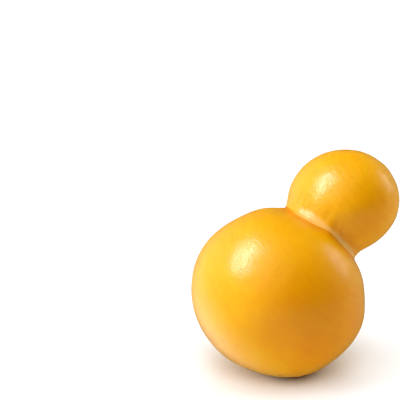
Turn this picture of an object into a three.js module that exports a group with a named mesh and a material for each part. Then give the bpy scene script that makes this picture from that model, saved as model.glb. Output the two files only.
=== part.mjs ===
// A smoked scamorza: one solid piece of stretched-curd cheese. A round body carries a smaller head above the
// waist where it once hung from a string, and it lies on a small flat with the head leaning to one side.
// Millimetres, +Z up. The table is z = 0, the body's centre is above the origin, and the head leans to +X.

import * as THREE from "three";

// ---- driving dimensions ----------------------------------------------------------------------------------

const BODY_RADIUS = 36.5; // across the body
const BODY_SHORT_RADIUS = 34.1; // along its slightly flattened axis
const BODY_TILT_DEG = 40.5; // that axis from the vertical, towards +X
const BODY_CENTRE_HEIGHT = 33.2; // above the table: the cheese has sagged by about 1.3 mm where it rests

const LEAN_DEG = 43.2; // the line from the body's centre to the head's, from the vertical, towards +X
const HEAD_REACH = 48.5; // from the body's centre to the head's
const HEAD_RADIUS = 23.6; // across the head
const HEAD_SHORT_RADIUS = 21.4; // along its flattened axis
const HEAD_TILT_DEG = -21.4; // that axis from the vertical, towards +X

const WAIST_RADIUS = 15.6; // the thinnest place of the core that joins the two lobes
const WAIST_REACH = 39.4; // from the body's centre to the waist
const NECK_START = 24; // from the body's centre to the core's lower end
const NECK_CURVE_RADIUS = 17; // of the hollow curve by which the core widens from the waist to the body
const NECK_SHIFT = -0.2; // the core's middle line, towards the side that the head leans to
const HEAD_BLEND = 4.6; // how widely the core turns into the head
const BODY_BLEND = 1.1; // how widely it turns into the body's shoulder, at the crease the string left

// Where the hand-formed lobes stand out from, or sink in from, an even ellipsoid.
const BODY_SWELLS = [
  { azimuth: 84, elevation: 73, spread: 13, height: 1 },
  { azimuth: 30, elevation: 73, spread: 8, height: 1.1 },
  { azimuth: 128, elevation: 52, spread: 15, height: -0.3 },
  { azimuth: 162, elevation: -40, spread: 17, height: -0.2 },
  { azimuth: -161, elevation: -71, spread: 20, height: -1.3 },
  { azimuth: -49, elevation: -48, spread: 18, height: -0.8 },
  { azimuth: -37, elevation: -19, spread: 18, height: 1 },
  { azimuth: -28, elevation: 13, spread: 13, height: 0.7 },
  { azimuth: -62, elevation: 50, spread: 11, height: 0.75 },
];
const HEAD_SWELLS = [{ azimuth: -35, elevation: -12, spread: 18, height: 0.45 }];

// The mesh: points round each ring, rings from the flat to the crease at the neck, and rings above the crease.
const AROUND = 72;
const BODY_RINGS = 35;
const HEAD_RINGS = 30;
const RING_EASING = 1.3; // above 1, the rings lie closer together near the crease
const LAST_HEAD_RING_DEG = 176; // at the head's centre, from the ray that points back to the body

// ---- the form --------------------------------------------------------------------------------------------

const { degToRad, radToDeg, lerp, clamp } = THREE.MathUtils;

// A unit vector in the XZ plane, at an angle from the vertical towards +X.
const leaning = (degrees) => new THREE.Vector3(Math.sin(degToRad(degrees)), 0, Math.cos(degToRad(degrees)));

const bodyCentre = new THREE.Vector3(0, 0, BODY_CENTRE_HEIGHT);
const neckAxis = leaning(LEAN_DEG);
const headCentre = bodyCentre.clone().addScaledVector(neckAxis, HEAD_REACH);
const neckSide = leaning(LEAN_DEG + 90);

function pointing({ azimuth, elevation }) {
  const flat = Math.cos(degToRad(elevation));
  return new THREE.Vector3(
    flat * Math.cos(degToRad(azimuth)),
    flat * Math.sin(degToRad(azimuth)),
    Math.sin(degToRad(elevation)),
  );
}

// A lobe is an ellipsoid of revolution with swells. The function returned gives a point's distance outside it,
// measured along the ray from the lobe's centre.
function lobe(centre, axis, axisRadius, acrossRadius, swells) {
  const bumps = swells.map((swell) => ({ ...swell, direction: pointing(swell) }));
  const ray = new THREE.Vector3();
  return (point) => {
    const distance = ray.subVectors(point, centre).length();
    if (distance < 1e-9) return -axisRadius;
    ray.divideScalar(distance);
    const along = ray.dot(axis);
    const across2 = 1 - along * along;
    let radius = 1 / Math.sqrt((along / axisRadius) ** 2 + across2 / acrossRadius ** 2);
    for (const { direction, spread, height } of bumps) {
      const angle = Math.acos(clamp(ray.dot(direction), -1, 1));
      radius += height * Math.exp(-((angle / degToRad(spread)) ** 2));
    }
    return distance - radius;
  };
}

// The neck's core: a round rod from inside the body to the waist, with round ends and a hollow side.
function core(origin, direction, start, waist, waistRadius, curveRadius) {
  const nearest = new THREE.Vector3();
  return (point) => {
    const along = clamp(nearest.subVectors(point, origin).dot(direction), start, waist);
    const radius = waistRadius + (waist - along) ** 2 / (2 * curveRadius);
    return nearest.copy(origin).addScaledVector(direction, along).distanceTo(point) - radius;
  };
}

// The smaller of two distances, with the corner between them rounded over a width.
function blend(a, b, width) {
  const near = Math.max(width - Math.abs(a - b), 0) / width;
  return Math.min(a, b) - (near * near * width) / 4;
}

const body = lobe(bodyCentre, leaning(BODY_TILT_DEG), BODY_SHORT_RADIUS, BODY_RADIUS, BODY_SWELLS);
const head = lobe(headCentre, leaning(HEAD_TILT_DEG), HEAD_SHORT_RADIUS, HEAD_RADIUS, HEAD_SWELLS);
const neckOrigin = bodyCentre.clone().addScaledVector(neckSide, NECK_SHIFT);
const neck = core(neckOrigin, neckAxis, NECK_START, WAIST_REACH, WAIST_RADIUS, NECK_CURVE_RADIUS);
const headAndNeck = (point) => blend(head(point), neck(point), HEAD_BLEND);

// Below zero inside the cheese, above zero outside it.
const cheese = (point) => blend(body(point), headAndNeck(point), BODY_BLEND);

// ---- points on the surface ---------------------------------------------------------------------------------

const CAREFUL = 0.8; // the share of the distance to the surface that one step takes
const LEAST_STEP = 0.02;
const HALVINGS = 24;

// Where a ray from inside a form first leaves it: short steps up to the surface, then halving.
function leaves(form, origin, direction) {
  const point = new THREE.Vector3();
  const at = (distance) => form(point.copy(origin).addScaledVector(direction, distance));
  let inside = 0;
  let outside = LEAST_STEP;
  for (let depth = -at(outside); depth > 0; depth = -at(outside)) {
    inside = outside;
    outside += depth * CAREFUL + LEAST_STEP;
  }
  for (let i = 0; i < HALVINGS; i++) {
    const middle = (inside + outside) / 2;
    if (at(middle) < 0) inside = middle;
    else outside = middle;
  }
  return point.copy(origin).addScaledVector(direction, inside);
}

// A ray at an angle from the foot end of an axis that leans by tiltDeg, turned about that axis.
function rayAt(tiltDeg, angleDeg, turn) {
  const across = Math.sin(degToRad(angleDeg));
  return new THREE.Vector3()
    .addScaledVector(leaning(tiltDeg), -Math.cos(degToRad(angleDeg)))
    .addScaledVector(leaning(tiltDeg + 90), across * Math.cos(turn))
    .add(new THREE.Vector3(0, across * Math.sin(turn), 0));
}

// The angle between two others at which a test stops holding.
function lastDeg(holds, from, to) {
  let [good, bad] = [from, to];
  for (let i = 0; i < HALVINGS; i++) {
    const middle = (good + bad) / 2;
    if (holds(middle)) good = middle;
    else bad = middle;
  }
  return good;
}

// The angle at the body's centre of the crease, where the body's shoulder meets the neck.
function creaseDeg(turn) {
  const onBody = (angle) => headAndNeck(leaves(body, bodyCentre, rayAt(LEAN_DEG, angle, turn))) > 0;
  return lastDeg(onBody, 120, 165);
}

// The middle of the flat that the cheese rests on: halfway between where the table's plane leaves it at each side.
const underBody = new THREE.Vector3(0, 0, 0);
const flatAt = (x) => leaves(cheese, underBody, new THREE.Vector3(x, 0, 0));
const footCentre = flatAt(1).add(flatAt(-1)).multiplyScalar(0.5);
const FOOT_TILT_DEG = -radToDeg(Math.atan2(footCentre.x, BODY_CENTRE_HEIGHT));

// The angle at the body's centre of the flat's edge.
function footDeg(turn) {
  const belowTable = (angle) => leaves(cheese, bodyCentre, rayAt(FOOT_TILT_DEG, angle, turn)).z < 0;
  return lastDeg(belowTable, 0, 45);
}

// ---- the mesh ----------------------------------------------------------------------------------------------

const turns = Array.from({ length: AROUND }, (_, i) => (2 * Math.PI * i) / AROUND);
const flatEdges = turns.map(footDeg);
const creases = turns.map(creaseDeg);
const creaseRing = turns.map((turn, i) => leaves(cheese, bodyCentre, rayAt(LEAN_DEG, creases[i], turn)));

// A ring seen from the body's centre. Its axis points at the foot low down and turns to the neck's axis at the crease.
function bodyRing(share) {
  const eased = 1 - (1 - share) ** RING_EASING;
  const tilt = lerp(FOOT_TILT_DEG, LEAN_DEG, eased);
  return turns.map((turn, i) => {
    const angle = lerp(flatEdges[i], creases[i], eased);
    return leaves(cheese, bodyCentre, rayAt(tilt, angle, turn));
  });
}

// A ring seen from the head's centre, from the crease up to near the head's far end.
function headRing(share) {
  return turns.map((turn, i) => {
    const fromHead = creaseRing[i].clone().sub(headCentre).normalize();
    const start = radToDeg(Math.acos(-fromHead.dot(neckAxis)));
    const angle = lerp(start, LAST_HEAD_RING_DEG, share ** RING_EASING);
    return leaves(cheese, headCentre, rayAt(LEAN_DEG, angle, turn));
  });
}

function rings() {
  const all = [];
  for (let i = 0; i < BODY_RINGS; i++) all.push(bodyRing(i / BODY_RINGS));
  all.push(creaseRing);
  for (let i = 1; i <= HEAD_RINGS; i++) all.push(headRing(i / HEAD_RINGS));
  return all;
}

// Closes the rings into one skin, with a single point in the middle of the first ring and of the last.
function skin(allRings, bottom, top) {
  const points = [bottom, ...allRings.flat(), top];
  const topIndex = points.length - 1;
  const last = allRings.length - 1;
  const at = (ring, i) => 1 + ring * AROUND + (i % AROUND);
  const faces = [];
  for (let i = 0; i < AROUND; i++) {
    faces.push(0, at(0, i + 1), at(0, i));
    for (let ring = 0; ring < last; ring++) {
      faces.push(at(ring, i), at(ring, i + 1), at(ring + 1, i + 1));
      faces.push(at(ring, i), at(ring + 1, i + 1), at(ring + 1, i));
    }
    faces.push(at(last, i), at(last, i + 1), topIndex);
  }
  const geometry = new THREE.BufferGeometry().setFromPoints(points);
  geometry.setIndex(faces);
  geometry.computeVertexNormals();
  return geometry;
}

const smokedRind = new THREE.MeshStandardMaterial({ color: 0xf2a81c, roughness: 0.4, metalness: 0 });

const scamorza = new THREE.Mesh(skin(rings(), footCentre, leaves(cheese, headCentre, neckAxis)), smokedRind);
scamorza.name = "scamorza";

const piece = new THREE.Group();
piece.add(scamorza);

export default piece;
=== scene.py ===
"""A smoked scamorza on a white table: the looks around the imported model.

The rind is worked out again at a fine pitch, from the same sizes as the solid, so that it carries the soft
unevenness of a hand-formed cheese and the pleats that a string pressed into its neck. The form is in
millimetres, in the frame of the model: +Z up, the table at z = 0, the head leaning to +X. The camera, the
table and the lamps are in metres, in the same frame.
"""

import math

import bpy
import numpy as np
from mathutils import Matrix, Vector


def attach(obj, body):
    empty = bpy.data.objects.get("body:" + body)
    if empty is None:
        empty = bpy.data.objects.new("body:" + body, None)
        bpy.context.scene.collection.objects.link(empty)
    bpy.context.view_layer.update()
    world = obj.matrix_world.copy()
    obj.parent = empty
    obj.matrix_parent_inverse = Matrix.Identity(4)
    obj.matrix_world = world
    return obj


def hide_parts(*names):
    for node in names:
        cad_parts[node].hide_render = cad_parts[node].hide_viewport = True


NODE = "scamorza"
MM = 0.001

# ---- sizes of the form ---------------------------------------------------------------------------------

BODY_RADIUS = 36.5  # across the body
BODY_SHORT_RADIUS = 34.1  # along its slightly flattened axis
BODY_TILT_DEG = 40.5  # that axis from the vertical, towards +X
BODY_CENTRE_HEIGHT = 33.2  # above the table

LEAN_DEG = 43.2  # the line from the body's centre to the head's, from the vertical
HEAD_REACH = 48.5  # from the body's centre to the head's
HEAD_RADIUS = 23.6  # across the head
HEAD_SHORT_RADIUS = 21.4  # along its flattened axis
HEAD_TILT_DEG = -21.4  # that axis from the vertical

WAIST_RADIUS = 15.6  # the thinnest place of the core that joins the two lobes
WAIST_REACH = 39.4  # from the body's centre to the waist
NECK_START = 24  # from the body's centre to the core's lower end
NECK_CURVE_RADIUS = 17  # of the hollow curve by which the core widens from the waist to the body
NECK_SHIFT = -0.2  # the core's middle line, towards the side that the head leans to
HEAD_BLEND = 4.6  # how widely the core turns into the head
BODY_BLEND = 1.1  # how widely it turns into the body's shoulder

# Where the lobes stand out from, or sink in from, an even ellipsoid: azimuth, elevation and spread in
# degrees, and height.
BODY_SWELLS = [
    (84, 73, 13, 1),
    (30, 73, 8, 1.1),
    (128, 52, 15, -0.3),
    (162, -40, 17, -0.2),
    (-161, -71, 20, -1.3),
    (-49, -48, 18, -0.8),
    (-37, -19, 18, 1),
    (-28, 13, 13, 0.7),
    (-62, 50, 11, 0.75),
]
HEAD_SWELLS = [(-35, -12, 18, 0.45)]

# The fine mesh: points round each ring, rings from the flat to the crease, and rings from there to the top.
AROUND = 320
BODY_RINGS = 170
HEAD_RINGS = 130
BODY_RING_EASING = 1.25  # above 1, the rings lie closer together near the crease
HEAD_RING_EASING = 1.5
LAST_HEAD_RING_DEG = 179.4  # at the head's centre, from the ray that points back to the body

# ---- the form ------------------------------------------------------------------------------------------

TINY = 1e-9


def leaning(degrees):
    """A unit vector in the XZ plane, at an angle from the vertical towards +X."""
    angle = math.radians(degrees)
    return np.array([math.sin(angle), 0.0, math.cos(angle)])


def pointing(azimuth, elevation):
    """A unit vector, from two angles in degrees."""
    azimuth, elevation = math.radians(azimuth), math.radians(elevation)
    flat = math.cos(elevation)
    return np.array([flat * math.cos(azimuth), flat * math.sin(azimuth), math.sin(elevation)])


UP = np.array([0.0, 0.0, 1.0])
BODY_CENTRE = UP * BODY_CENTRE_HEIGHT
NECK_AXIS = leaning(LEAN_DEG)
NECK_SIDE = leaning(LEAN_DEG + 90)
HEAD_CENTRE = BODY_CENTRE + NECK_AXIS * HEAD_REACH


def lobe(centre, axis, axis_radius, across_radius, swells):
    """An ellipsoid of revolution with swells, as a function that gives how far points are outside it."""

    def outside(points):
        ray = points - centre
        distance = np.maximum(np.linalg.norm(ray, axis=-1), TINY)
        ray = ray / distance[..., None]
        along = ray @ axis
        radius = 1 / np.sqrt((along / axis_radius) ** 2 + (1 - along**2) / across_radius**2)
        for azimuth, elevation, spread, height in swells:
            angle = np.arccos(np.clip(ray @ pointing(azimuth, elevation), -1, 1))
            radius = radius + height * np.exp(-((np.degrees(angle) / spread) ** 2))
        return distance - radius

    return outside


def core(origin, direction, start, waist, waist_radius, curve_radius):
    """A round rod from inside the body to the waist, with round ends and a hollow side."""

    def outside(points):
        along = np.clip((points - origin) @ direction, start, waist)
        radius = waist_radius + (waist - along) ** 2 / (2 * curve_radius)
        nearest = origin + along[..., None] * direction
        return np.linalg.norm(points - nearest, axis=-1) - radius

    return outside


def blend(a, b, width):
    """The smaller of two distances, with the corner between them rounded over a width."""
    near = np.maximum(width - np.abs(a - b), 0) / width
    return np.minimum(a, b) - near * near * width / 4


body = lobe(BODY_CENTRE, leaning(BODY_TILT_DEG), BODY_SHORT_RADIUS, BODY_RADIUS, BODY_SWELLS)
head = lobe(HEAD_CENTRE, leaning(HEAD_TILT_DEG), HEAD_SHORT_RADIUS, HEAD_RADIUS, HEAD_SWELLS)
NECK_ORIGIN = BODY_CENTRE + NECK_SIDE * NECK_SHIFT
neck = core(NECK_ORIGIN, NECK_AXIS, NECK_START, WAIST_REACH, WAIST_RADIUS, NECK_CURVE_RADIUS)


def head_and_neck(points):
    """How far points are outside the head and the core."""
    return blend(head(points), neck(points), HEAD_BLEND)


def cheese(points):
    """Below zero inside the cheese, above zero outside it."""
    return blend(body(points), head_and_neck(points), BODY_BLEND)


# ---- points on the surface -----------------------------------------------------------------------------

CAREFUL = 0.8  # the share of the distance to the surface that one step takes
LEAST_STEP = 0.02
HALVINGS = 24


def leaves(form, origin, directions):
    """Where rays from inside a form first leave it: short steps up to the surface, then halving."""
    inside = np.zeros(directions.shape[:-1])
    outside = inside + LEAST_STEP

    def at(distance):
        return form(origin + directions * distance[..., None])

    depth = -at(outside)
    while (depth > 0).any():
        going = depth > 0
        inside = np.where(going, outside, inside)
        outside = np.where(going, outside + depth * CAREFUL + LEAST_STEP, outside)
        depth = -at(outside)
    for _ in range(HALVINGS):
        middle = (inside + outside) / 2
        within = at(middle) < 0
        inside = np.where(within, middle, inside)
        outside = np.where(within, outside, middle)
    return origin + directions * inside[..., None]


def rays(tilt_deg, angle_deg, turn):
    """Rays at an angle from the foot end of an axis that leans by tilt_deg, turned about that axis."""
    angle = np.radians(angle_deg)[..., None]
    turn = turn[..., None]
    sideways = np.cos(turn) * leaning(tilt_deg + 90) + np.sin(turn) * np.array([0.0, 1.0, 0.0])
    return -np.cos(angle) * leaning(tilt_deg) + np.sin(angle) * sideways


def halve(low, high, is_low):
    """The angle in each turn where a test that holds at low stops holding."""
    low, high = np.full(AROUND, float(low)), np.full(AROUND, float(high))
    for _ in range(HALVINGS):
        middle = (low + high) / 2
        holds = is_low(middle)
        low = np.where(holds, middle, low)
        high = np.where(holds, high, middle)
    return low


TURNS = np.arange(AROUND) * 2 * math.pi / AROUND


def flat_edge(direction):
    """Where the table's plane leaves the cheese, from the point under the body's centre."""
    return leaves(cheese, np.zeros(3), np.array([direction]))[0]


FOOT_CENTRE = (flat_edge((1.0, 0.0, 0.0)) + flat_edge((-1.0, 0.0, 0.0))) / 2
FOOT_TILT_DEG = -math.degrees(math.atan2(FOOT_CENTRE[0], BODY_CENTRE_HEIGHT))

# Between which angles at the body's centre the flat's edge and the crease are looked for.
FOOT_BETWEEN_DEG = (0, 45)
CREASE_BETWEEN_DEG = (120, 165)


def foot_degs():
    """The angle at the body's centre of the flat's edge."""

    def below_table(angle):
        return leaves(cheese, BODY_CENTRE, rays(FOOT_TILT_DEG, angle, TURNS))[..., 2] < 0

    return halve(*FOOT_BETWEEN_DEG, below_table)


def crease_degs():
    """The angle at the body's centre of the crease, where the body's shoulder meets the neck."""

    def on_body(angle):
        return head_and_neck(leaves(body, BODY_CENTRE, rays(LEAN_DEG, angle, TURNS))) > 0

    return halve(*CREASE_BETWEEN_DEG, on_body)


# ---- the relief: what the hands and the string left on the soft curd -----------------------------------

WAVES = 40  # of soft unevenness, in all directions
WAVE_LENGTHS = (6, 16)
WAVE_HEIGHT = 0.008
WAVE_SEED = 11

STRING_REACH = 32  # from the body's centre to the middle of the groove that the string lay in

PLEATS = 30  # short ones that fan out from the string
PLEAT_JITTER = 0.4  # how far one is off its even place, as a share of their pitch
PLEAT_MIDDLES = (-1, 4)  # along the neck's axis, from the string
PLEAT_WIDTHS = (0.5, 1.3)
PLEAT_DEPTHS = (0.1, 0.28)
PLEAT_HALF_LENGTHS = (1.5, 4)
PLEAT_SLANT_DEG = 30  # the most that one leans off the neck's axis
PLEAT_SEED = 5

WRINKLES = 6  # fine ones that run round the neck, above the crease
WRINKLES_START = 29.3  # from the body's centre to the first
WRINKLE_PITCH = 0.62
WRINKLE_WIDTH = 0.28
WRINKLE_HEIGHT = 0.15
WRINKLE_SWAY = 0.4
WRINKLE_MOST_SWAYS = 5  # of one wrinkle on its way round
WRINKLE_SEED = 3

# A soft fold from the neck up the underside of the head.
FOLD_START = np.array([14.0, -16.0, 62.0])
FOLD_END = np.array([11.5, -5.0, 74.0])
FOLD_WIDTH = 3.6
FOLD_HEIGHT = 0.8

FOOT_MARGIN = 4  # above the table, where the relief fades out


def unevenness(points):
    """Low waves in all directions."""
    draw = np.random.default_rng(WAVE_SEED)
    total = np.zeros(points.shape[:-1])
    for _ in range(WAVES):
        direction = draw.normal(size=3)
        direction = direction / np.linalg.norm(direction)
        length = draw.uniform(*WAVE_LENGTHS)
        shift = draw.uniform(0, 2 * math.pi)
        total += WAVE_HEIGHT * np.sin(points @ direction * 2 * math.pi / length + shift)
    return total


def round_the_neck(points):
    """How far points are round the groove, in millimetres on its own radius, and along the neck's axis."""
    ray = points - NECK_ORIGIN
    turn = np.arctan2(ray[..., 1], ray @ NECK_SIDE)
    return turn * WAIST_RADIUS, ray @ NECK_AXIS


def wrapped(distance, whole):
    """A distance round a closed way, brought to within half of the whole way."""
    return (distance + whole / 2) % whole - whole / 2


def pleats(points):
    """Short furrows across the groove."""
    draw = np.random.default_rng(PLEAT_SEED)
    across, along = round_the_neck(points)
    girth = 2 * math.pi * WAIST_RADIUS
    total = np.zeros(points.shape[:-1])
    for i in range(PLEATS):
        place = (i + draw.uniform(-PLEAT_JITTER, PLEAT_JITTER)) * girth / PLEATS
        middle = STRING_REACH + draw.uniform(*PLEAT_MIDDLES)
        half_length = draw.uniform(*PLEAT_HALF_LENGTHS)
        slant = math.tan(math.radians(draw.uniform(-PLEAT_SLANT_DEG, PLEAT_SLANT_DEG)))
        aside = wrapped(across - place - (along - middle) * slant, girth)
        depth = draw.uniform(*PLEAT_DEPTHS)
        width = draw.uniform(*PLEAT_WIDTHS)
        total -= depth * np.exp(-((aside / width) ** 2) - ((along - middle) / half_length) ** 2)
    return total


def wrinkles(points):
    """Thin raised lines round the neck, each of which sways and fades in and out."""
    draw = np.random.default_rng(WRINKLE_SEED)
    across, along = round_the_neck(points)
    turn = across / WAIST_RADIUS
    total = np.zeros(points.shape[:-1])
    for i in range(WRINKLES):
        middle = WRINKLES_START + i * WRINKLE_PITCH
        times = draw.integers(1, WRINKLE_MOST_SWAYS + 1)
        sway = WRINKLE_SWAY * np.sin(turn * times + draw.uniform(0, 2 * math.pi))
        fade = 0.5 + 0.5 * np.sin(turn * (times + 1) + draw.uniform(0, 2 * math.pi))
        total += WRINKLE_HEIGHT * fade * np.exp(-(((along - middle - sway) / WRINKLE_WIDTH) ** 2))
    return total


def soft_fold(points):
    """A ridge that is highest at the neck and fades out towards its other end."""
    line = FOLD_END - FOLD_START
    share = np.clip((points - FOLD_START) @ line / (line @ line), 0, 1)
    aside = np.linalg.norm(points - FOLD_START - share[..., None] * line, axis=-1)
    return FOLD_HEIGHT * (1 - share) * np.exp(-((aside / FOLD_WIDTH) ** 2))


def relief(points):
    """How far the rind stands out from the smooth form."""
    height = unevenness(points) + pleats(points) + wrinkles(points) + soft_fold(points)
    return height * np.clip(points[..., 2] / FOOT_MARGIN, 0, 1)


def outward(points):
    """The direction in which points leave the smooth form."""
    step = 0.05
    slope = [cheese(points + step * axis) - cheese(points - step * axis) for axis in np.eye(3)]
    slope = np.stack(slope, axis=-1)
    return slope / np.linalg.norm(slope, axis=-1)[..., None]


# ---- the mesh ------------------------------------------------------------------------------------------


def body_rings(creases):
    """Rings seen from the body's centre, whose axis turns from the foot to the neck's axis at the crease."""
    feet = foot_degs()
    found = []
    for i in range(BODY_RINGS):
        share = 1 - (1 - i / BODY_RINGS) ** BODY_RING_EASING
        tilt = FOOT_TILT_DEG + (LEAN_DEG - FOOT_TILT_DEG) * share
        angle = feet + (creases - feet) * share
        found.append(leaves(cheese, BODY_CENTRE, rays(tilt, angle, TURNS)))
    return found


def head_rings(crease_ring):
    """Rings seen from the head's centre, from above the crease up to near the head's far end."""
    from_head = crease_ring - HEAD_CENTRE
    from_head = from_head / np.linalg.norm(from_head, axis=-1)[..., None]
    starts = np.degrees(np.arccos(-from_head @ NECK_AXIS))
    found = []
    for i in range(1, HEAD_RINGS + 1):
        share = (i / HEAD_RINGS) ** HEAD_RING_EASING
        angle = starts + (LAST_HEAD_RING_DEG - starts) * share
        found.append(leaves(cheese, HEAD_CENTRE, rays(LEAN_DEG, angle, TURNS)))
    return found


def rings():
    """All rings on the smooth form, from the flat's edge upwards."""
    creases = crease_degs()
    crease_ring = leaves(cheese, BODY_CENTRE, rays(LEAN_DEG, creases, TURNS))
    return np.array([*body_rings(creases), crease_ring, *head_rings(crease_ring)])


def skin(all_rings, bottom, top):
    """Points and faces of the rings closed into one skin, with one point in the middle of each end."""
    count = len(all_rings)
    points = np.vstack([bottom, all_rings.reshape(-1, 3), top])
    here = np.arange(AROUND)
    following = (here + 1) % AROUND
    first = 1 + AROUND * np.arange(count - 1)[:, None]
    corners = (here, following, AROUND + following, AROUND + here)
    quads = np.stack([first + corner for corner in corners], axis=-1)
    last = 1 + AROUND * (count - 1)
    faces = [(0, 1 + b, 1 + a) for a, b in zip(here, following)]
    faces += [tuple(quad) for quad in quads.reshape(-1, 4)]
    faces += [(last + a, last + b, len(points) - 1) for a, b in zip(here, following)]
    return points, [tuple(int(i) for i in face) for face in faces]


STRING_MARK = "string_mark"
MARK_TOP = 31.7  # along the neck's axis, where the pale band that the string covered ends
MARK_SWAYS = [(1, 1.35, -1.57), (5, 0.2, 2.0), (9, 0.12, 0.5)]  # of its edge: times round, height, shift
MARK_SOFTNESS = 1.4
MARK_GAP_TURN_DEG = 160  # the side where the string stood off, so that the smoke reached the curd
MARK_GAP_DEG = 20  # to each side of that
MARK_GAP_SOFTNESS_DEG = 18


def string_mark(points):
    """1 on the band above the crease that the string kept from the smoke, 0 elsewhere."""
    across, along = round_the_neck(points)
    top = np.full(along.shape, MARK_TOP)
    for times, height, shift in MARK_SWAYS:
        top += height * np.sin(times * across / WAIST_RADIUS + shift)
    mark = np.clip((top - along) / MARK_SOFTNESS + 0.5, 0, 1)
    from_gap = np.abs(wrapped(np.degrees(across / WAIST_RADIUS) - MARK_GAP_TURN_DEG, 360))
    mark *= np.clip((from_gap - MARK_GAP_DEG) / MARK_GAP_SOFTNESS_DEG, 0, 1)
    first_of_crease = 1 + BODY_RINGS * AROUND
    mark[:first_of_crease] = 0
    return mark


# Painted shade along the body's lip under the crease: its mark on the mesh, and how far down it reaches.
LIP_SHADE = "lip_shade"
LIP_SHADE_WIDTH = 4.5


def lip_shade(all_rings):
    """Where painted shade goes: 1 at the body's lip, just under the crease, and 0 further down the shoulder
    and above the crease.
    """
    from_crease = np.linalg.norm(all_rings - all_rings[BODY_RINGS], axis=2)
    shade = np.exp(-((from_crease / LIP_SHADE_WIDTH) ** 2))
    shade[BODY_RINGS + 1 :] = 0
    return np.concatenate([[0], shade.ravel(), [0]])


def add_object(name, data):
    """A new object, put into the scene."""
    thing = bpy.data.objects.new(name, data)
    bpy.context.scene.collection.objects.link(thing)
    return thing


def cheese_piece():
    """The rind, with the two marks that its material reads."""
    all_rings = rings()
    top = leaves(cheese, HEAD_CENTRE, NECK_AXIS[None])
    points, faces = skin(all_rings, FOOT_CENTRE, top)
    marks = {STRING_MARK: string_mark(points), LIP_SHADE: lip_shade(all_rings)}
    points[1:] += outward(points[1:]) * relief(points[1:])[:, None]
    mesh = bpy.data.meshes.new("smoked_cheese")
    mesh.from_pydata((points * MM).tolist(), [], faces)
    for name, values in marks.items():
        mesh.attributes.new(name, "FLOAT", "POINT").data.foreach_set("value", values)
    for polygon in mesh.polygons:
        polygon.use_smooth = True
    return add_object("smoked_cheese", mesh)


# ---- nodes ---------------------------------------------------------------------------------------------

NOISE_RANGE = (0.3, 0.7)  # where most of a noise's values lie


def noise(tree, place, scale, detail):
    """Noise whose patches are about 1 / scale across, in the units of place."""
    node = tree.nodes.new("ShaderNodeTexNoise")
    node.inputs["Scale"].default_value = scale
    node.inputs["Detail"].default_value = detail
    tree.links.new(place, node.inputs["Vector"])
    return node.outputs["Fac"]


def patches(tree, place, size, detail):
    """Noise whose patches are about size millimetres across."""
    return noise(tree, place, 1 / (size * MM), detail)


def maths(tree, operation, a, b):
    """An operation on two values, each a number or a socket."""
    node = tree.nodes.new("ShaderNodeMath")
    node.operation = operation
    for socket, value in zip(node.inputs, (a, b)):
        if isinstance(value, (int, float)):
            socket.default_value = value
        else:
            tree.links.new(value, socket)
    return node.outputs[0]


def dot(tree, vector, direction):
    """How far a vector reaches along a direction."""
    node = tree.nodes.new("ShaderNodeVectorMath")
    node.operation = "DOT_PRODUCT"
    node.inputs[1].default_value = direction
    tree.links.new(vector, node.inputs[0])
    return node.outputs["Value"]


def steps_along(tree, place, direction, size):
    """Where a place lies along a direction, in steps of size millimetres."""
    return dot(tree, place, Vector(direction) / (size * MM))


def map_range(tree, value, start, end, shape="LINEAR"):
    """A value carried over from the range start to the range end, and kept within it."""
    node = tree.nodes.new("ShaderNodeMapRange")
    node.interpolation_type = shape
    for name, limit in zip(("From Min", "From Max", "To Min", "To Max"), start + end):
        node.inputs[name].default_value = limit
    tree.links.new(value, node.inputs["Value"])
    return node.outputs["Result"]


def mixed_value(tree, a, b, share):
    """The value a, with a share of the value b."""
    node = tree.nodes.new("ShaderNodeMix")
    node.inputs["Factor"].default_value = share
    tree.links.new(a, node.inputs["A"])
    tree.links.new(b, node.inputs["B"])
    return node.outputs["Result"]


def tinted(tree, colour, share, other):
    """A colour mixed with another by a share that varies over the surface."""
    node = tree.nodes.new("ShaderNodeMix")
    node.data_type = "RGBA"
    node.inputs["B"].default_value = other
    tree.links.new(share, node.inputs["Factor"])
    tree.links.new(colour, node.inputs["A"])
    return node.outputs["Result"]


def ramp(tree, value, low_colour, high_colour):
    """A noise's values, turned into colours between two."""
    node = tree.nodes.new("ShaderNodeValToRGB")
    colours = (low_colour, high_colour)
    for element, position, colour in zip(node.color_ramp.elements, NOISE_RANGE, colours):
        element.position = position
        element.color = colour
    tree.links.new(value, node.inputs["Fac"])
    return node.outputs["Color"]


def bump(tree, height, depth):
    """Relief too fine for the mesh; depth is in millimetres."""
    node = tree.nodes.new("ShaderNodeBump")
    node.inputs["Distance"].default_value = depth * MM
    tree.links.new(height, node.inputs["Height"])
    return node.outputs["Normal"]


def attribute(tree, name):
    """A value stored at the mesh's points."""
    node = tree.nodes.new("ShaderNodeAttribute")
    node.attribute_name = name
    return node.outputs["Fac"]


def new_material(name):
    """A material and its shader."""
    material = bpy.data.materials.new(name)
    material.use_nodes = True
    return material, material.node_tree.nodes["Principled BSDF"]


# ---- the rind's material -------------------------------------------------------------------------------

# DARK_RIND to LIGHT_RIND spans the rind's uneven tone and also painted shade and light: darker on one side,
# lighter higher up and where the rind faces away.
DARK_RIND = (0.775, 0.254, 0.0002, 1)
LIGHT_RIND = (0.85, 0.415, 0.001, 1)
PALE_RIND = (0.90, 0.47, 0.09, 1)  # where the string kept the smoke off
CREASE_SHADE_COLOUR = (0.78, 0.27, 0.0002, 1)  # painted shade along the lip under the crease

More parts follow.
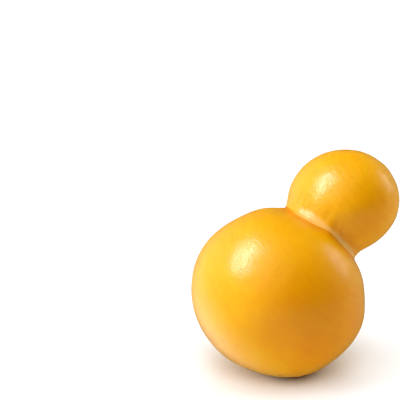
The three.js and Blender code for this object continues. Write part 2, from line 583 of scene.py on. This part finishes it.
PAINTED_SHADE_SIDE = (-94, 3)  # the side on which painted shade darkens the rind most: azimuth and elevation
PAINTED_SHADE_FADE = (0.9, 0.35)  # how squarely the rind faces it where the painted shade starts and stops fading
PAINTED_SHADE_RISE = 250  # the rise that fades the painted shade as much as a quarter turn away from that side
FADE_RANGE = (0.2, 0.8)  # the values of that fading: low for dark rind, high for light
FADE_SHARE = 0.5  # of those values, mixed with the rind's unevenness

CLOUD_SIZE = 22  # of soft clouds in the colour
SPECK_SIZE = 2.5  # of fine specks in them
SPECK_SHARE = 0.3

# The curd was stretched, which leaves faint straight lines: along them, and across them on the surface.
STRETCH = (0.544, -0.396, -0.740)
ACROSS_STRETCH = (0.554, -0.493, 0.671)
LINE_LENGTH = 18
LINE_PITCH = 0.9
LINE_SHARE = 0.34  # in the colour
LINE_DEPTH = 0.06

PEEL_SIZE = 0.8  # of the fine bumps all over the rind
PEEL_DEPTH = 0.13
RIND_ROUGHNESS = 0.23
MARK_ROUGHNESS = 0.33  # where the string lay
MARK_EDGE = (0.3, 0.7)  # the values of its mark between which the roughness changes

REFRACTION = 1.45
SOFT_SHARE = 0.3  # of the light, which spreads through the curd before it comes out again
SOFT_REACH = 3  # how far it spreads
SOFT_COLOURS = (1, 0.5, 0.2)  # shares of that reach for red, green and blue


def stretch_lines(tree, place):
    """Noise drawn out into long thin lines."""
    both = tree.nodes.new("ShaderNodeCombineXYZ")
    tree.links.new(steps_along(tree, place, ACROSS_STRETCH, LINE_PITCH), both.inputs["X"])
    tree.links.new(steps_along(tree, place, STRETCH, LINE_LENGTH), both.inputs["Y"])
    return noise(tree, both.outputs["Vector"], scale=1, detail=2)


def painted_light_and_shade(tree, place):
    """Painted shade and light: low on one side, and more high up and where the rind faces away."""
    normal = tree.nodes.new("ShaderNodeNewGeometry").outputs["Normal"]
    facing = dot(tree, normal, pointing(*PAINTED_SHADE_SIDE))
    lowness = steps_along(tree, place, (0, 0, -1), PAINTED_SHADE_RISE)
    # Painted shade: how squarely the rind faces that side, less higher up.
    smoked = maths(tree, "ADD", facing, lowness)
    return map_range(tree, smoked, PAINTED_SHADE_FADE, FADE_RANGE, "SMOOTHSTEP")


def rind_colour(tree, place, lines, mark):
    """Clouds and lines of smoke, painted shade and light by side, painted shade along the lip, and the
    string's pale band.
    """
    clouds = patches(tree, place, CLOUD_SIZE, detail=2)
    specks = patches(tree, place, SPECK_SIZE, detail=3)
    uneven = mixed_value(tree, mixed_value(tree, clouds, specks, SPECK_SHARE), lines, LINE_SHARE)
    # The rind's uneven tone, mixed half and half with painted shade and light.
    smoke = mixed_value(tree, uneven, painted_light_and_shade(tree, place), FADE_SHARE)
    rind = ramp(tree, smoke, DARK_RIND, LIGHT_RIND)
    # Painted shade along the lip, under the crease.
    shaded = tinted(tree, rind, attribute(tree, LIP_SHADE), CREASE_SHADE_COLOUR)
    return tinted(tree, shaded, mark, PALE_RIND)


def rind_material():
    """The smooth, softly shining smoked rind."""
    material, shader = new_material("smoked_rind")
    shader.inputs["IOR"].default_value = REFRACTION
    shader.inputs["Subsurface Weight"].default_value = SOFT_SHARE
    shader.inputs["Subsurface Radius"].default_value = SOFT_COLOURS
    shader.inputs["Subsurface Scale"].default_value = SOFT_REACH * MM

    tree = material.node_tree
    place = tree.nodes.new("ShaderNodeTexCoord").outputs["Object"]
    lines = stretch_lines(tree, place)
    mark = attribute(tree, STRING_MARK)
    tree.links.new(rind_colour(tree, place, lines, mark), shader.inputs["Base Color"])
    roughness = map_range(tree, mark, MARK_EDGE, (RIND_ROUGHNESS, MARK_ROUGHNESS))
    tree.links.new(roughness, shader.inputs["Roughness"])

    furrows = bump(tree, lines, LINE_DEPTH)
    fine = bump(tree, patches(tree, place, PEEL_SIZE, detail=1), PEEL_DEPTH)
    tree.links.new(furrows, fine.node.inputs["Normal"])
    tree.links.new(fine, shader.inputs["Normal"])
    return material


# ---- the camera ----------------------------------------------------------------------------------------

CAMERA_AZIMUTH_DEG = -31.4  # where the camera stands, from the -Y side towards +X
CAMERA_ELEVATION_DEG = 15
CAMERA_DISTANCE = 0.463
CAMERA_LENS = 100  # in millimetres, as the sensor is
SENSOR_WIDTH = 36
IMAGE_SIZE = 400
BODY_CENTRE_IN_IMAGE = (277.0, 293.96)  # in pixels, from the left and from the top


def camera_axes():
    """Unit vectors to the camera's right, up and back."""
    azimuth, elevation = math.radians(CAMERA_AZIMUTH_DEG), math.radians(CAMERA_ELEVATION_DEG)
    flat = math.cos(elevation)
    back = Vector((math.sin(azimuth) * flat, -math.cos(azimuth) * flat, math.sin(elevation)))
    right = Vector((math.cos(azimuth), math.sin(azimuth), 0))
    return right, back.cross(right), back


def from_image_middle(pixel):
    """How far a pixel's point is from the middle of the view, at the cheese's distance."""
    return (pixel / IMAGE_SIZE - 0.5) * SENSOR_WIDTH / CAMERA_LENS * CAMERA_DISTANCE


def add_camera():
    """The camera, placed so that the body's centre shows at its pixel."""
    right, up, back = camera_axes()
    across, below = (from_image_middle(pixel) for pixel in BODY_CENTRE_IN_IMAGE)
    place = Vector(BODY_CENTRE) * MM - right * across + up * below + back * CAMERA_DISTANCE
    data = bpy.data.cameras.new("camera")
    data.lens = CAMERA_LENS
    data.sensor_width = SENSOR_WIDTH
    camera = add_object("camera", data)
    turned = Matrix((right, up, back)).transposed().to_4x4()
    camera.matrix_world = Matrix.Translation(place) @ turned
    bpy.context.scene.camera = camera


# ---- the table -----------------------------------------------------------------------------------------

TABLE_HALF = 4.0
TABLE_GAP = 0.00005  # under the cheese's flat
TABLE_COLOUR = (0.86, 0.9, 0.93, 1)
TABLE_ROUGHNESS = 0.6


def add_table():
    """A wide white table, which the rind doesn't mirror."""
    mesh = bpy.data.meshes.new("table")
    low, high = -TABLE_HALF, TABLE_HALF
    corners = [(low, low, 0), (high, low, 0), (high, high, 0), (low, high, 0)]
    mesh.from_pydata(corners, [], [(0, 1, 2, 3)])
    material, shader = new_material("white_table")
    shader.inputs["Base Color"].default_value = TABLE_COLOUR
    shader.inputs["Roughness"].default_value = TABLE_ROUGHNESS
    mesh.materials.append(material)
    table = add_object("table", mesh)
    table.location.z = -TABLE_GAP
    table.visible_glossy = False
    return table


# ---- the light -----------------------------------------------------------------------------------------

AIM = Vector((0.008, 0, 0.045))  # what the lamps point at: the middle of the cheese
LAMP_DISTANCE = 0.8

# Every light below comes from so many degrees to the right of the camera, and so many above the table.

# The light of the room, and what the bright table would mirror in the rind: from where, strength, and how
# narrow each is.
GLOWS = [
    (-70, 50, 1.6, 4),
    (-130, 8, 0.85, 5),
    (-115, -38, 2.2, 8),
    (120, 10, 0.33, 4),
    (125, -20, 0.1, 4),
]

# The lamps on the cheese: from where, power, width, height, and a turn about the line to the cheese.
SHINE = ("shine", -79, 51, 6.2, 0.22, 0.6, 28)  # the tall glint, which adds no other light
RIM = ("rim", 116, 23.5, 0.56, 0.18, 0.4, 0)  # lights the far right edge, and glints there
FILLS = [  # soft light, which shows no glint
    ("key", -88, 51, 4.4, 0.18, 0.5, 0),
    ("round_key", -35, 40, 0.8, 0.3, 0.3, 0),
    ("high_key", -60, 68, 0.8, 0.3, 0.3, 0),
    ("side", 111, 22, 3.0, 0.4, 0.4, 0),
]

# The light that gives the table its soft shadows: from where, strength, softness in degrees.
TABLE_LIGHTS = [
    ("table_front", 0, 45, 1.35, 34),
    ("table_right", 90, 45, 0.7, 34),
    ("table_left", -80, 20, 1.2, 28),
    ("table_back", 180, 45, 0.3, 34),
    ("table_top", 0, 90, 1.25, 50),
]


def from_camera(aside, elevation):
    """A direction from the cheese, so many degrees to the right of the camera's and above the table."""
    return Vector(pointing(CAMERA_AZIMUTH_DEG - 90 + aside, elevation))


def softbox(name, aside, elevation, power, width, height, roll, on):
    """A rectangular lamp that faces the cheese and lights only the objects in the collection on."""
    data = bpy.data.lights.new(name, "AREA")
    data.shape = "RECTANGLE"
    data.size = width
    data.size_y = height
    data.energy = power
    lamp = add_object(name, data)
    direction = from_camera(aside, elevation)
    lamp.location = AIM + direction * LAMP_DISTANCE
    facing = direction.to_track_quat("Z", "Y").to_matrix()
    lamp.rotation_euler = (facing @ Matrix.Rotation(math.radians(roll), 3, "Z")).to_euler()
    lamp.light_linking.receiver_collection = on
    return lamp


def wide_light(name, aside, elevation, strength, softness, on):
    """Parallel light, softened by softness degrees, that lights only the objects in the collection on."""
    data = bpy.data.lights.new(name, "SUN")
    data.energy = strength
    data.angle = math.radians(softness)
    lamp = add_object(name, data)
    lamp.rotation_euler = from_camera(aside, elevation).to_track_quat("Z", "Y").to_euler()
    lamp.light_linking.receiver_collection = on


def only(name, thing):
    """A collection of one object, for lamps that light nothing else."""
    collection = bpy.data.collections.new(name)
    collection.objects.link(thing)
    return collection


def glow(tree, sky, direction, strength, sharpness):
    """Light from all round, strongest from one direction."""
    facing = maths(tree, "MAXIMUM", dot(tree, sky, direction), 0)
    return maths(tree, "MULTIPLY", maths(tree, "POWER", facing, sharpness), strength)


def add_room_light():
    """The glows, which light everything and mirror in the rind."""
    world = bpy.data.worlds.new("studio")
    bpy.context.scene.world = world
    world.use_nodes = True
    tree = world.node_tree
    sky = tree.nodes.new("ShaderNodeTexCoord").outputs["Generated"]
    total = 0
    for aside, elevation, strength, sharpness in GLOWS:
        lit = glow(tree, sky, from_camera(aside, elevation), strength, sharpness)
        total = maths(tree, "ADD", total, lit)
    background = tree.nodes["Background"]
    background.inputs["Color"].default_value = (1, 1, 1, 1)
    tree.links.new(total, background.inputs["Strength"])


def add_lamps(cheese_object, table_object):
    """Lamps that light the cheese, and others that light the table."""
    on_cheese = only("on_cheese", cheese_object)
    softbox(*SHINE, on_cheese).visible_diffuse = False
    softbox(*RIM, on_cheese)
    for fill in FILLS:
        softbox(*fill, on_cheese).visible_glossy = False
    on_table = only("on_table", table_object)
    for light in TABLE_LIGHTS:
        wide_light(*light, on_table)


# ---- the scene -----------------------------------------------------------------------------------------

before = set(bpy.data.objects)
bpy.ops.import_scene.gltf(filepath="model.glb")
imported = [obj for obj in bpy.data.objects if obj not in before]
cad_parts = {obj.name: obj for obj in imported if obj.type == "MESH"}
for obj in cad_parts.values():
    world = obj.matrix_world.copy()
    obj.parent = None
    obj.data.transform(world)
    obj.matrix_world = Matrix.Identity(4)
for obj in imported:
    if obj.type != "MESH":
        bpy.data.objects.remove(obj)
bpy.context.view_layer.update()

add_camera()
table = add_table()
add_room_light()
bpy.context.scene.view_settings.view_transform = "Standard"

rind = cheese_piece()
rind.data.materials.append(rind_material())
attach(rind, "root")
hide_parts(NODE)
add_lamps(rind, table)
